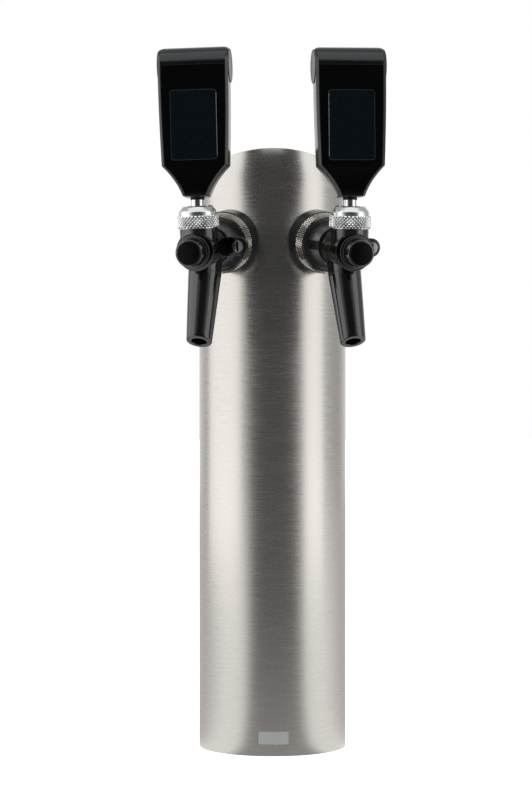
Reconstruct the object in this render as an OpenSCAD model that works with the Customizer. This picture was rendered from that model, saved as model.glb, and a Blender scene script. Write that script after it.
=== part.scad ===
// Two-tap drinks tower: a column with a slanted top and two flow control taps.
// Each tap is drawn in its own frame: its nut seat is the origin, it points along -Y
// and its chimney rises along +Z. Distances along the tap are counted forwards.

/* [Column] */
// Outer diameter of the column
tube_d = 101.6; // [98:0.2:108]
// Wall of the column
tube_wall = 2; // [1.5:0.1:3]
// Height of the column at its front
front_h = 410; // [400:1:450]
// Slope of the cut top, down to the back
top_slope = 25; // [10:1:28]
// Thickness of the closing plate
top_plate_t = 2; // [1.5:0.1:4]
// Thickness of the base ring
base_t = 8; // [6:0.5:12]
// Width of the base ring round its opening
base_land = 18.6; // [15:0.2:22]
// Diameter of the base bolt holes
base_hole_d = 8.4; // [6:0.1:9]
// Number of base bolts
base_bolts = 4; // [3:1:6]
// Thickness of the base gasket
gasket_t = 1.5; // [1:0.1:3]
// Thickness of the foam liner
liner_t = 8; // [5:0.5:10]
// Width of the blank plate
plate_w = 20.2; // [14:0.1:30]
// Height of the blank plate
plate_h = 8.4; // [6:0.1:14]
// Thickness of the blank plate
plate_t = 0.4; // [0.3:0.1:1]
// Height of the blank plate over the floor
plate_z = 8.1; // [5:0.1:30]

/* [Tap placing] */
// Distance of the shank holes below the top of the column's front
tap_drop = 62; // [55:1:90]
// Angle round the column where a shank passes its wall
mount_angle = 35.4; // [34:0.2:38]
// Angle of a tap from straight ahead
tap_yaw = 20; // [18:0.5:24]
// Turn of both taps about their own axes, as they were fitted
tap_roll = 1; // [-1.5:0.1:1.5]
// Slope of a tap, down to its front
tap_slope = 10; // [5:0.5:12]
// Length of the collar on the tap's axis
collar_len = 12.5; // [10:0.5:18]
// Diameter of the collar
collar_d = 41.6; // [41:0.1:44]

/* [Shank] */
// Diameter of the shank's thread
shank_d = 22; // [20:0.1:23]
// Diameter of the shank's bore
shank_bore_d = 10; // [8:0.1:11]
// Room between the two elbows
elbow_gap = 6.9; // [4:0.1:14]
// Diameter of the shank's flange
shank_flange_d = 31; // [29:0.5:33]
// Length over the faces of the lock nut
lock_nut_t = 8; // [6:0.5:10]
// Diameter over the corners of the lock nut
lock_nut_d = 34; // [30:0.5:35]
// Diameter of the beer pipe
pipe_d = 9.6; // [9:0.1:10.4]

/* [Coupling nut] */
// Diameter over the knurl of the coupling nut
nut_d = 40.6; // [40:0.1:41]
// Length of the coupling nut
nut_len = 11; // [10.5:0.1:13]
// Diameter of the thread in the coupling nut
nut_thread_d = 36; // [35:0.1:37]

/* [Tap body] */
// Diameter of the bell behind the nut's front
bell_d = 31.6; // [29:0.1:33]
// Diameter of the bell at its front
bell_front_d = 25.4; // [25:0.1:26.4]
// Distance of the bell's front from the nut seat
bell_end = 21.8; // [21:0.1:22.5]
// Height of the key slot in the bell
key_slot_h = 5.7; // [4:0.1:8]
// Diameter of the barrel
barrel_d = 25; // [24.4:0.1:25.6]
// Distance of the barrel's front ring from the nut seat
barrel_end = 54; // [53:0.5:58]
// Diameter of the barrel's front ring
barrel_ring_d = 26; // [25.8:0.1:27]
// Diameter of the chamber in the barrel
chamber_d = 16.4; // [16:0.1:17]
// Distance of the chimney's axis from the nut seat
chimney_at = 45; // [44.5:0.1:46]
// Lean of the chimney, back from square to the barrel
chimney_back = 3; // [0:0.5:3]
// Height of the chimney under the bonnet nut
chimney_h = 14; // [13:0.1:15]
// Diameter of the cap's flange
cap_d = 22; // [21:0.1:23]
// Diameter of the cap in front of its flange
cap_face_d = 18.2; // [16:0.1:19.4]
// Length of the cap's flange
cap_flange_t = 3; // [2.5:0.1:4]
// Distance that the cap stands forwards
cap_len = 13; // [8:0.1:14]

/* [Spout] */
// Diameter of the spout at its top
spout_top_d = 21.8; // [21:0.1:22.4]
// Diameter of the spout at its tip
spout_tip_d = 16.8; // [14:0.1:19]
// Diameter of the spout's bore
spout_bore_d = 10.2; // [8:0.1:11]
// Length of the spout on its axis
spout_len = 47.5; // [40:0.5:70]
// Lean of the spout, forwards of square to the barrel
spout_lean = 25.5; // [24:0.5:28]
// Distance from the nut seat to where the spout's axis meets the barrel's axis
spout_at = 31.6; // [31:0.1:32]
// Slant of the cut tip
tip_slant = 9; // [0:0.5:15]

/* [Bonnet] */
// Diameter over the knurl of the bonnet nut
bonnet_d = 27.4; // [27.2:0.1:29.4]
// Height of the bonnet nut
bonnet_h = 8.4; // [8:0.1:9.5]
// Diameter of the dome
dome_d = 24.8; // [24.4:0.1:25]
// Diameter of the dome's flat top
dome_top_d = 17.6; // [17:0.1:18.4]
// Height of the dome over the bonnet nut
dome_h = 6.3; // [6:0.1:6.8]
// Width of the slot across the dome
dome_slot_w = 6.4; // [5:0.1:8]
// Depth of the slot across the dome
dome_slot_h = 4.4; // [3:0.1:4.6]

/* [Lever] */
// Diameter of the lever's ball
ball_d = 12.8; // [12.4:0.1:13]
// Diameter of the lever's stem
stem_d = 8.5; // [7.5:0.1:8.8]
// Lean of the shut lever, back from the line of the chimney
lever_back = 6; // [4:0.5:6.5]
// Height of stem that shows over the dome
stem_show = 3.8; // [3.4:0.1:8]
// Length of the lever below its ball centre
lever_arm = 16; // [15.5:0.1:16.2]
// Diameter of the lever's round tip
tip_d = 5.8; // [5:0.1:6]
// Height of the jam ring under the handle
jam_h = 1.6; // [1.2:0.1:4]
// Diameter of the jam ring under the handle
jam_d = 9.2; // [8:0.1:12]

/* [Handle] */
// Height of the handle
handle_h = 97.8; // [88:0.2:110]
// Width of the handle at its top
handle_top_w = 46; // [40:0.1:50]
// Width of the handle at its shoulders
shoulder_w = 43.4; // [36:0.1:46]
// Width of the handle at its foot
foot_w = 16.6; // [15.4:0.1:20]
// Height of the shoulders over the foot
shoulder_h = 20.2; // [17:0.1:26]
// Diameter of the handle's round top
roll_d = 25; // [24:0.1:27]
// Thickness of the handle's blade
blade_t = 17; // [15.6:0.1:20]
// Distance of the handle's front face from the line of its stem
blade_front = 10.8; // [9:0.1:10.9]
// Turn of the handle on its stem, back towards straight ahead
handle_turn = 13.7; // [0:0.1:16]
// Wall of the hollow handle
handle_wall = 2.6; // [2:0.1:3.5]
// Rim left round the front panel
panel_rim = 1.7; // [1.2:0.1:3]
// Thickness of the front panel
panel_t = 2.4; // [2:0.1:3.5]
// Width of the window
window_w = 30.4; // [20:0.1:34]
// Height of the window
window_h = 46.4; // [30:0.1:50]
// Corner radius of the window
window_r = 2.6; // [1:0.1:5]
// Diameter of the side discs
disc_d = 22.4; // [16:0.1:22.8]

/* [Flow control] */
// Diameter of the flow ring
flow_ring_d = 25.6; // [25:0.1:26.4]
// Height of the flow ring's wing
wing_h = 12.7; // [10:0.1:13.5]
// Distance of the wing's screw from the tap's axis
wing_reach = 21.7; // [19:0.1:25]
// Thickness of the wing
wing_t = 3.6; // [2.5:0.1:4]
// Diameter of the slotted screw's head
screw_head_d = 7.8; // [6:0.1:9]

/* [Hidden] */
$fn = 96;
over = 1;
fit = 0.05;
run_fit = 0.1;
far_over = 40;
tube_r = tube_d / 2;
bore_r = tube_r - tube_wall;
tap_h = front_h - tap_drop;
base_opening_d = 2 * (bore_r - base_land);
base_pcd = 2 * bore_r - base_land;
chamfer = 0.5;

// Lock nut seat, measured back from the nut seat, and pipe fittings behind it
inner_seat_len = 12.6;
seat_back = collar_len + tube_wall + inner_seat_len;
inner_seat_d = 32;
elbow_reach = 14;
elbow_arm_d = 18;
elbow_ball_d = 20;
elbow_side = (elbow_ball_d + elbow_gap) / 2;
elbow_at = collar_len + (tube_r * sin(mount_angle) - elbow_side) / (cos(tap_slope) * sin(tap_yaw));
shank_back = elbow_at - elbow_reach;
elbow_bore_d = 6.6;
elbow_drop = 26;
pipe_socket = 12;
pipe_foot_z = 5;
pipe_bore_d = 6.6;
spigot_d = 8;
spigot_len = 14;
liner_foot = 6;
liner_top_gap = 50;
shank_hole_fit = 0.3;

// Stations along the tap, counted forwards from the nut seat
nut_lip = 1.5;
nut_lip_d = shank_d + 2 * run_fit;
flange_t = 3;
seal_t = 1;
flange_end = nut_lip + flange_t;
bell_back = flange_end + seal_t;
bell_flange_t = 4;
bell_face = bell_back + bell_flange_t;
nut_mouth_gap = 0.45;
nut_mouth_d = nut_thread_d + 2 * nut_mouth_gap;
bell_bore_d = 11;
mouth_at = 12;
socket_at = 18;
sleeve_d = 21;
groove_w = 0.8;
groove_deep = 0.8;
ring_at = 24;
ring_len = 7.6;
ring_end = ring_at + ring_len;
seat_lip_at = 31.5;
seat_lip_t = 1.5;
seat_hole_d = 11;
thread_at = 51.6;
cap_thread_d = 20;
cap_gap = 0.6;
front_ring_t = 3;

// Heights over the tap's axis
chimney_d = barrel_d - 2 * run_fit;
bonnet_at = chimney_h + run_fit;
bonnet_end = bonnet_at + bonnet_h;
chimney_thread_d = 21.6;
bonnet_roof = 2;
chimney_thread_end = bonnet_end - bonnet_roof;
seat_depth = 5.9;
seat_step_at = bonnet_end - seat_depth;
chimney_bore_d = 14.8;
seat_bore_d = 18.6;
pivot_below = 1;
pivot_at = bonnet_end - pivot_below;
dome_flange_t = 1;
dome_flange_w = 0.5;
dome_flange_d = dome_d + 2 * dome_flange_w;
dome_lip_t = 0.8;
dome_end = bonnet_end + dome_h;
dome_side_h = 1.4;
stem_end = dome_end + stem_show;
handle_foot = stem_end + jam_h;
handle_top = handle_foot + handle_h;
roll_r = roll_d / 2;
roll_at = handle_top - roll_r;
roll_back = roll_r - blade_front;
stud_d = 6;
stud_len = 14;
insert_d = 8;

module tap_place(side) {
    rotate([0, 0, side * mount_angle])
        translate([0, -tube_r, tap_h])
            rotate([0, 0, side * (tap_yaw - mount_angle)])
                rotate([tap_slope, 0, 0])
                    translate([0, -collar_len, 0])
                        children();
}

module tap_fitted(side) {
    tap_place(side) rotate([0, -tap_roll, 0]) children();
}

module forwards(t) {
    translate([0, -t, 0]) rotate([90, 0, 0]) children();
}

module turned(points) {
    rotate([90, 0, 0]) rotate_extrude() polygon(points);
}

module on_chimney() {
    translate([0, -chimney_at, 0]) rotate([-chimney_back, 0, 0]) children();
}

// Heights on the lever are counted along its stem, as on the chimney.
module on_lever() {
    on_chimney() translate([0, 0, pivot_at]) rotate([-lever_back, 0, 0])
        translate([0, 0, -pivot_at]) children();
}

module on_handle(side) {
    on_lever() rotate([0, 0, -side * handle_turn]) children();
}

module above_cut(depth) {
    translate([0, -tube_r, front_h]) rotate([-top_slope, 0, 0])
        translate([-tube_d, -tube_d, -depth]) cube([2 * tube_d, 3 * tube_d, 2 * tube_d]);
}

module shank_axis_cut(d) {
    forwards(-shank_back) cylinder(d = d, h = shank_back + over);
}

// Column

module tower_tube() {
    color("silver")
    difference() {
        cylinder(r = tube_r, h = front_h);
        translate([0, 0, -over]) cylinder(r = bore_r, h = front_h + 2 * over);
        above_cut(0);
        for (side = [-1, 1]) tap_place(side) shank_axis_cut(shank_d + 2 * shank_hole_fit);
    }
}

module top_plate() {
    color("silver")
    difference() {
        intersection() {
            cylinder(r = bore_r, h = front_h);
            above_cut(top_plate_t);
        }
        above_cut(0);
    }
}

module base_ring() {
    color("gray")
    translate([0, 0, gasket_t])
    difference() {
        cylinder(r = bore_r, h = base_t);
        translate([0, 0, -over]) cylinder(d = base_opening_d, h = base_t + 2 * over);
        base_bolt_holes(base_t);
    }
}

module base_bolt_holes(height) {
    for (i = [0 : base_bolts - 1])
        rotate([0, 0, 360 / base_bolts * (i + 0.5)])
            translate([base_pcd / 2, 0, -over]) cylinder(d = base_hole_d, h = height + 2 * over);
}

module base_gasket() {
    color("dimgray")
    difference() {
        cylinder(r = bore_r, h = gasket_t);
        translate([0, 0, -over]) cylinder(d = base_opening_d, h = gasket_t + 2 * over);
        base_bolt_holes(gasket_t);
    }
}

module insulation_liner() {
    liner_z = gasket_t + base_t + liner_foot;
    color("khaki")
    difference() {
        translate([0, 0, liner_z]) cylinder(r = bore_r, h = tap_h - liner_top_gap - liner_z);
        cylinder(r = bore_r - liner_t, h = front_h);
    }
}

module label_plate() {
    color("lightgray")
    intersection() {
        difference() {
            cylinder(r = tube_r + plate_t, h = front_h);
            translate([0, 0, -over]) cylinder(r = tube_r, h = front_h + 2 * over);
        }
        translate([-plate_w / 2, -tube_d, plate_z]) cube([plate_w, tube_d, plate_h]);
    }
}

// Fixings of one tap

module collar(side) {
    color("black")
    difference() {
        tap_place(side) turned([
            [shank_d / 2 + fit, -far_over], [collar_d / 2, -far_over],
            [collar_d / 2, -chamfer], [collar_d / 2 - chamfer, 0], [shank_d / 2 + fit, 0]]);
        cylinder(r = tube_r, h = front_h);
    }
}

module inner_seat(side) {
    color("black")
    intersection() {
        tap_place(side) turned([
            [shank_d / 2 + fit, -seat_back], [inner_seat_d / 2, -seat_back],
            [inner_seat_d / 2, 0], [shank_d / 2 + fit, 0]]);
        cylinder(r = bore_r, h = front_h);
    }
}

module shank(side) {
    color("silver")
    tap_place(side) turned([
        [shank_bore_d / 2, -shank_back], [shank_d / 2 - chamfer, -shank_back],
        [shank_d / 2, chamfer - shank_back], [shank_d / 2, nut_lip],
        [shank_flange_d / 2, nut_lip], [shank_flange_d / 2, flange_end],
        [shank_bore_d / 2, flange_end]]);
}

module lock_nut(side) {
    color("goldenrod")
    tap_place(side) forwards(-seat_back - lock_nut_t) difference() {
        cylinder(d = lock_nut_d, h = lock_nut_t, $fn = 6);
        translate([0, 0, -over]) cylinder(d = shank_d, h = lock_nut_t + 2 * over);
    }
}

// The elbow turns each line plumb down to the base.
module elbow_down() {
    translate([0, elbow_at, 0]) rotate([-tap_slope, 0, 0]) rotate([180, 0, 0]) children();
}

module elbow(side) {
    color("dimgray")
    tap_place(side) difference() {
        union() {
            forwards(-elbow_at) cylinder(d = elbow_arm_d, h = elbow_at - shank_back);
            translate([0, elbow_at, 0]) sphere(d = elbow_ball_d);
            elbow_down() cylinder(d = elbow_arm_d, h = elbow_drop);
        }
        forwards(-elbow_at) cylinder(d = shank_bore_d, h = elbow_at);
        elbow_down() cylinder(d = elbow_bore_d, h = elbow_drop + over);
        elbow_down() translate([0, 0, elbow_drop - pipe_socket])
            cylinder(d = pipe_d, h = pipe_socket + over);
    }
}

// The pipe ends in a thinner spigot, which a hose is pushed over.
module beer_pipe(side) {
    corner_z = tap_h + (elbow_at - collar_len) * sin(tap_slope);
    pipe_top = elbow_drop - pipe_socket;
    pipe_len = corner_z - pipe_top - pipe_foot_z;
    color("silver")
    tap_place(side) elbow_down() translate([0, 0, pipe_top]) difference() {
        union() {
            cylinder(d = pipe_d, h = pipe_len - spigot_len);
            cylinder(d = spigot_d, h = pipe_len);
        }
        translate([0, 0, -over]) cylinder(d = pipe_bore_d, h = front_h);
    }
}

module shank_seal(side) {
    color("dimgray")
    tap_place(side) turned([
        [shank_bore_d / 2 + chamfer, flange_end], [shank_flange_d / 2, flange_end],
        [shank_flange_d / 2, bell_back], [shank_bore_d / 2 + chamfer, bell_back]]);
}

module coupling_nut(side) {
    color("silver")
    tap_place(side) turned([
        [nut_lip_d / 2, 0], [nut_d / 2 - chamfer, 0], [nut_d / 2, chamfer],
        [nut_d / 2, nut_len - chamfer], [nut_d / 2 - chamfer, nut_len],
        [nut_mouth_d / 2, nut_len], [nut_thread_d / 2, bell_face],
        [nut_thread_d / 2, nut_lip], [nut_lip_d / 2, nut_lip]]);
}

// Tap body

module bell(side) {
    color("black")
    tap_fitted(side) difference() {
        turned([
            [bell_bore_d / 2, bell_back], [nut_thread_d / 2 - fit, bell_back],
            [nut_thread_d / 2 - fit, bell_face], [bell_d / 2, bell_face],
            [bell_front_d / 2, bell_end], [sleeve_d / 2, bell_end],
            [sleeve_d / 2, socket_at], [chamber_d / 2, socket_at],
            [bell_bore_d / 2, mouth_at]]);
        translate([-bell_d, -bell_end - over, -key_slot_h / 2])
            cube([bell_d - bell_front_d / 2 + 2 * chamfer, bell_end - bell_face + over, key_slot_h]);
    }
}

module tap_body(side) {
    color("black")
    tap_fitted(side) difference() {
        union() {
            forwards(socket_at) cylinder(d = sleeve_d, h = ring_end - socket_at + over);
            forwards(bell_end + groove_w)
                cylinder(d = barrel_d, h = ring_at - bell_end - groove_w - run_fit);
            forwards(bell_end) cylinder(d = barrel_d - 2 * groove_deep, h = groove_w + over);
            forwards(ring_end + run_fit)
                cylinder(d = barrel_d, h = barrel_end - ring_end - run_fit - front_ring_t);
            forwards(barrel_end - front_ring_t) cylinder(d = barrel_ring_d, h = front_ring_t);
            on_chimney() cylinder(d = chimney_d, h = chimney_h);
            on_chimney() cylinder(d = chimney_thread_d, h = chimney_thread_end);
            spout_boss();
        }
        forwards(socket_at - over) cylinder(d = chamber_d, h = seat_lip_at - socket_at + over);
        forwards(seat_lip_at - over) cylinder(d = seat_hole_d, h = seat_lip_t + 2 * over);
        forwards(seat_lip_at + seat_lip_t) cylinder(d = chamber_d, h = barrel_end);
        forwards(thread_at) cylinder(d = cap_thread_d, h = barrel_end);
        forwards(barrel_end) cylinder(d = cap_d + 2 * cap_gap, h = barrel_end);
        on_chimney() cylinder(d = chimney_bore_d, h = chimney_thread_end + over);
        on_chimney() translate([0, 0, seat_step_at]) cylinder(d = seat_bore_d, h = bonnet_h);
        translate([0, -port_at, -spout_root]) cylinder(d = port_d, h = spout_root);
        spout_axis() translate([0, 0, spout_root - spout_thread_len])
            cylinder(d = spout_thread_d, h = spout_thread_len + over);
        lever_window();
    }
}

module lever_window() {
    translate([-lever_gap_w / 2, -chimney_at - lever_gap_front, 0])
        cube([lever_gap_w, lever_gap_front + lever_gap_back, lever_gap_top]);
}
lever_gap_side = 0.6;
lever_gap_w = tip_d + 2 * lever_gap_side;
lever_gap_front = 5.3;
lever_gap_back = 9.6;
lever_gap_top = 11;

// Spout, along its own axis down and forwards from the barrel's axis
spout_root = 18.7;
spout_thread_d = 15;
spout_thread_len = 3;
port_at = spout_at + spout_root * sin(spout_lean);
port_d = 9;
wing_sweep_d = 30;
wing_sweep_gap = 0.4;

module spout_axis() {
    translate([0, -spout_at, 0]) rotate([-spout_lean, 0, 0]) rotate([180, 0, 0]) children();
}

// The boss under the barrel, cut back to clear the flow ring and its wing
module spout_boss() {
    difference() {
        spout_axis() cylinder(d = spout_top_d, h = spout_root);
        forwards(0) cylinder(d = wing_sweep_d, h = ring_end + wing_sweep_gap);
    }
}

module spout(side) {
    tip_at = spout_root + spout_len;
    color("black")
    tap_fitted(side) spout_axis() difference() {
        union() {
            translate([0, 0, spout_root])
                cylinder(d1 = spout_top_d, d2 = spout_tip_d, h = spout_len);
            translate([0, 0, spout_root - spout_thread_len + run_fit])
                cylinder(d = spout_thread_d - 2 * fit, h = spout_thread_len);
        }
        cylinder(d = spout_bore_d, h = tip_at + over);
        translate([0, 0, tip_at]) rotate([-tip_slant, 0, 0])
            translate([-spout_top_d, -spout_top_d - spout_tip_d / 2, -spout_tip_d / 2 * sin(tip_slant)])
                cube([2 * spout_top_d, 3 * spout_top_d, spout_top_d]);
    }
}

module front_cap(side) {
    face_at = barrel_end + cap_len;
    step_at = barrel_end + cap_flange_t;
    thread_back = thread_at + 2 * run_fit;
    color("black")
    tap_fitted(side) difference() {
        turned([
            [0, thread_back], [cap_thread_d / 2 - fit, thread_back],
            [cap_thread_d / 2 - fit, barrel_end + cap_gap], [cap_d / 2, barrel_end + cap_gap],
            [cap_d / 2, step_at - chamfer], [cap_d / 2 - chamfer, step_at],
            [cap_face_d / 2, step_at], [cap_face_d / 2, face_at - cap_round],
            [cap_face_d / 2 - cap_round, face_at - cap_dome], [0, face_at]]);
        for (turn = [0, 180]) rotate([0, turn, 0])
            translate([cap_d / 2 - spanner_deep, -step_at + cap_flange_t / 2, 0])
                rotate([0, 90, 0]) cylinder(d = spanner_d, h = cap_d);
    }
}
cap_round = 1.6;
cap_dome = 0.5;
spanner_d = 1.8;
spanner_deep = 1.4;

// Bonnet

module bonnet_nut(side) {
    color("silver")
    tap_fitted(side) on_chimney() rotate_extrude() polygon([
        [chimney_thread_d / 2 + fit, bonnet_at], [bonnet_d / 2 - chamfer, bonnet_at],
        [bonnet_d / 2, bonnet_at + chamfer], [bonnet_d / 2, bonnet_end - chamfer],
        [bonnet_d / 2 - chamfer, bonnet_end], [dome_d / 2 + fit, bonnet_end],
        [dome_d / 2 + fit, bonnet_end - dome_lip_t],
        [dome_flange_d / 2 + fit, bonnet_end - dome_lip_t],
        [dome_flange_d / 2 + fit, chimney_thread_end],
        [chimney_thread_d / 2 + fit, chimney_thread_end]]);
}

// The dome holds the ball down, and its mouth clears the stem as it tips forwards.
module bonnet_dome(side) {
    flange_top = bonnet_end - dome_lip_t;
    rim = (dome_d - dome_top_d) / 2;
    color("silver")
    tap_fitted(side) on_chimney() difference() {
        rotate_extrude() polygon(concat(
            [[ball_d / 2 + 2 * run_fit, flange_top - dome_flange_t],
             [dome_flange_d / 2, flange_top - dome_flange_t],
             [dome_flange_d / 2, flange_top], [dome_d / 2, flange_top],
             [dome_d / 2, bonnet_end + dome_side_h]],
            [for (a = [15 : 15 : 90])
                [dome_top_d / 2 + rim * cos(a),
                 bonnet_end + dome_side_h + (dome_h - dome_side_h) * sin(a)]],
            [[dome_mouth_d / 2, dome_end], [dome_throat_d / 2, dome_throat_at],
             [ball_d / 2 + run_fit, pivot_at + dome_side_h]]));
        translate([-dome_d, -dome_slot_w / 2, dome_end - dome_slot_h])
            cube([2 * dome_d, dome_slot_w, dome_h]);
    }
}
dome_mouth_d = 14.8;
dome_throat_up = 2.7;
dome_throat_at = pivot_at + dome_throat_up;
dome_throat_d = 11.8;

module ball_seat(side) {
    color("white")
    tap_fitted(side) on_chimney() rotate_extrude() polygon([
        [seat_low_d / 2, seat_step_at], [seat_bore_d / 2 - fit, seat_step_at],
        [seat_bore_d / 2 - fit, chimney_thread_end],
        [seat_high_d / 2, chimney_thread_end]]);
}
seat_low_d = 9.8;
seat_high_d = 13.4;

// Lever and handle

module lever(side) {
    color("silver")
    tap_fitted(side) on_lever() {
        translate([0, 0, pivot_at]) sphere(d = ball_d);
        translate([0, 0, pivot_at]) cylinder(d = stem_d, h = stem_end - pivot_at);
        translate([0, 0, stem_end - over]) cylinder(d = stud_d, h = stud_len + jam_h + over);
        translate([0, 0, pivot_at - lever_arm]) cylinder(d = lever_rod_d, h = lever_arm);
        translate([0, 0, pivot_at - lever_arm]) sphere(d = tip_d);
    }
}
lever_rod_d = 4.4;

module jam_ring(side) {
    color("black")
    tap_fitted(side) on_lever() translate([0, 0, stem_end]) difference() {
        cylinder(d = jam_d, h = jam_h);
        translate([0, 0, -over]) cylinder(d = stud_d, h = jam_h + 2 * over);
    }
}

module handle_insert(side) {
    color("goldenrod")
    tap_fitted(side) on_lever() translate([0, 0, handle_foot]) difference() {
        cylinder(d = insert_d, h = stud_len);
        translate([0, 0, -over]) cylinder(d = stud_d, h = stud_len + 2 * over);
    }
}

// Half outline of the handle's front, drawn in by a rim
neck_bend_share = 0.5;
function neck_share(u) = (1 - neck_bend_share) * u + neck_bend_share * u * u;
function handle_side(rim) = [
    for (u = [0 : 0.2 : 1])
        [foot_w / 2 + (shoulder_w - foot_w) / 2 * neck_share(u) - rim,
         handle_foot + shoulder_h * u + (u == 0 ? rim : 0)]];

module handle_front_outline(rim, top) {
    half = concat(handle_side(rim),
        [[handle_top_w / 2 - rim, top]]);
    polygon(concat(half, [for (i = [len(half) - 1 : -1 : 0]) [-half[i][0], half[i][1]]]));
}

module facing(depth_front, thickness) {
    translate([0, -depth_front, 0]) rotate([90, 0, 0]) translate([0, 0, -thickness])
        linear_extrude(thickness) children();
}

module handle_blank(rim) {
    intersection() {
        facing(blade_front - rim, roll_d - 2 * rim) handle_round_outline(rim);
        translate([-handle_top_w, 0, 0]) rotate([90, 0, 90]) linear_extrude(2 * handle_top_w)
            handle_profile(rim);
    }
}

module handle_round_outline(rim) {
    corner = top_corner_r;
    handle_front_outline(rim, roll_at + corner);
    translate([0, roll_at]) square([handle_top_w - 2 * rim, 2 * corner], center = true);
    for (side = [-1, 1])
        translate([side * (handle_top_w / 2 - rim - corner), handle_top - rim - corner])
            circle(r = corner);
    translate([-handle_top_w / 2 + rim, roll_at])
        square([handle_top_w - 2 * rim, roll_r - rim - corner]);
    translate([-handle_top_w / 2 + rim + corner, roll_at])
        square([handle_top_w - 2 * rim - 2 * corner, roll_r - rim]);
}
top_corner_r = 3;

// Seen from the side, with the front at the left
module handle_profile(rim) {
    translate([roll_back, roll_at]) circle(r = roll_r - rim);
    translate([-blade_front + rim, handle_foot + rim])
        square([blade_t - 2 * rim, roll_at - handle_foot - rim]);
}

module handle_shell(side) {
    color("black")
    tap_fitted(side) on_handle(side) difference() {
        handle_blank(0);
        handle_hollow();
        panel_form(0, panel_t + over);
        translate([0, 0, handle_foot - over])
            cylinder(d = insert_d + 2 * fit, h = stud_len + over + fit);
        for (end = [-1, 1]) disc_form(end, disc_t + over, disc_d + 2 * fit);
    }
}

module handle_hollow() {
    translate([-hollow_w / 2, -blade_front + panel_t + over, handle_foot + shoulder_h])
        cube([hollow_w, blade_t - panel_t - over - handle_wall,
              roll_at - handle_foot - shoulder_h]);
}
hollow_w = shoulder_w - 4 * handle_wall;

module panel_form(fit_in, thickness) {
    facing(blade_front + over, thickness + over - fit_in) panel_outline(fit_in);
}

module panel_outline(fit_in) {
    handle_front_outline(panel_rim + fit_in, roll_at + panel_over_roll - fit_in);
}
panel_over_roll = 0.2;
panel_proud = 0.15;

module handle_panel(side) {
    color("black")
    tap_fitted(side) on_handle(side) difference() {
        facing(blade_front + panel_proud, panel_t + panel_proud - fit) panel_outline(fit);
        window_form(window_t, window_proud + over);
    }
}
window_t = 0.8;
window_proud = 0.1;

module window_form(deep, proud) {
    window_z = handle_foot + shoulder_h + window_lift + window_h / 2;
    translate([0, 0, window_z]) facing(blade_front + panel_proud + proud, deep + proud) {
        square([window_w - 2 * window_r, window_h], center = true);
        square([window_w, window_h - 2 * window_r], center = true);
        for (x = [-1, 1], z = [-1, 1])
            translate([x * (window_w / 2 - window_r), z * (window_h / 2 - window_r)])
                circle(r = window_r);
    }
}
window_lift = 4;

module handle_window(side) {
    color("darkslategray")
    tap_fitted(side) on_handle(side) window_form(window_t, window_proud);
}

module disc_form(end, depth, d) {
    translate([end * (handle_top_w / 2 - disc_t), roll_back, roll_at]) rotate([0, end * 90, 0])
        cylinder(d = d, h = depth);
}
disc_t = 1.6;
disc_proud = 0.6;

module handle_discs(side) {
    color("dimgray")
    tap_fitted(side) on_handle(side)
        for (end = [-1, 1]) disc_form(end, disc_t + disc_proud, disc_d);
}

// Valve

module plunger(side) {
    lean = chimney_back + lever_back;
    tip_y = -chimney_at + pivot_at * sin(chimney_back) - lever_arm * sin(lean);
    tip_z = pivot_at * cos(chimney_back) - lever_arm * cos(lean);
    color("white")
    tap_fitted(side) difference() {
        union() {
            forwards(plunger_back) cylinder(d = plunger_rod_d, h = block_at - plunger_back + over);
            forwards(block_at) cylinder(d = chamber_d - 4 * run_fit, h = block_len);
        }
        translate([-chamber_d, -block_at - block_len - over, -chamber_d - block_flat])
            cube([2 * chamber_d, block_len + 2 * over, chamber_d]);
        translate([-slot_w / 2, tip_y - slot_len / 2, tip_z - slot_deep])
            cube([slot_w, slot_len, chamber_d]);
    }
}
plunger_back = 29;
plunger_rod_d = 5.2;
block_at = 41.6;
block_len = 9.8;
block_flat = 4.5;
slot_side = 0.4;
slot_play = 0.45;
slot_floor = 0.6;
slot_w = tip_d + 2 * slot_side;
slot_len = tip_d + 2 * slot_play;
slot_deep = tip_d / 2 + slot_floor;

module plunger_seal(side) {
    seal_d = 14.4;
    color("dimgray")
    tap_fitted(side) forwards(seat_lip_at - run_fit - plunger_seal_t) difference() {
        cylinder(d = seal_d, h = plunger_seal_t);
        translate([0, 0, -over]) cylinder(d = plunger_rod_d, h = plunger_seal_t + 2 * over);
    }
}
plunger_seal_t = 2;

// Flow control

module flow_ring(side) {
    color("black")
    tap_fitted(side) difference() {
        union() {
            forwards(ring_at) cylinder(d = flow_ring_d, h = ring_len);
            forwards(ring_end - wing_t) linear_extrude(wing_t) {
                translate([wing_reach, 0]) circle(d = wing_h);
                translate([0, -wing_h / 2]) square([wing_reach, wing_h]);
            }
        }
        forwards(ring_at - over) cylinder(d = sleeve_d + 4 * run_fit, h = ring_len + 2 * over);
        translate([wing_reach, 0, 0]) forwards(ring_at) cylinder(d = screw_d, h = ring_len + over);
    }
}
screw_d = 4;
screw_head_t = 1.2;
screw_slot_w = 1.2;
screw_slot_h = 0.8;

module flow_screw(side) {
    color("silver")
    tap_fitted(side) translate([wing_reach, 0, 0]) difference() {
        union() {
            forwards(ring_end - wing_t) cylinder(d = screw_d, h = wing_t);
            forwards(ring_end) cylinder(d = screw_head_d, h = screw_head_t);
        }
        translate([-screw_slot_w / 2, -ring_end - screw_head_t - over, -screw_head_d])
            cube([screw_slot_w, screw_slot_h + over, 2 * screw_head_d]);
    }
}

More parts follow.
